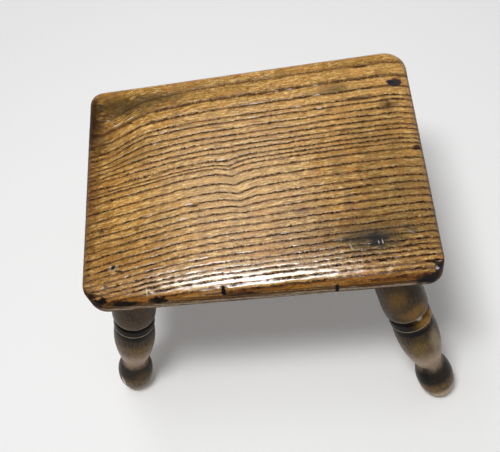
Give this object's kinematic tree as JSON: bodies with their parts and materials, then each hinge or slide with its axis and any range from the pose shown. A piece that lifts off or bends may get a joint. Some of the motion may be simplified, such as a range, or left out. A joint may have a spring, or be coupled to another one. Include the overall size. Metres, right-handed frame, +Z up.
{
  "type": "fireside stool",
  "caption": "Low wooden stool: a worn plank seat on splayed turned legs with ball feet, socketed and wedged into the seat.",
  "frame": {"origin": "on the floor, under the middle of the whole stool's footprint", "axes": "+X along the grain and the length of the seat to the sitter's right, -Y to the worn front edge, +Z up"},
  "size_m": [0.3784, 0.34, 0.239],
  "materials": {
    "seat_wood": "waxed, open grain, worn satin",
    "leg_wood": "dark stained, worn satin",
    "wedge_wood": "bare split hardwood"
  },
  "bodies": {
    "root": {"seat": "seat_wood", "leg_front_left": "leg_wood", "leg_front_right": "leg_wood", "leg_back_left": "leg_wood", "leg_back_right": "leg_wood", "wedge_front_left": "wedge_wood", "wedge_front_right": "wedge_wood", "wedge_back_left": "wedge_wood", "wedge_back_right": "wedge_wood"}
  },
  "joints": []
}
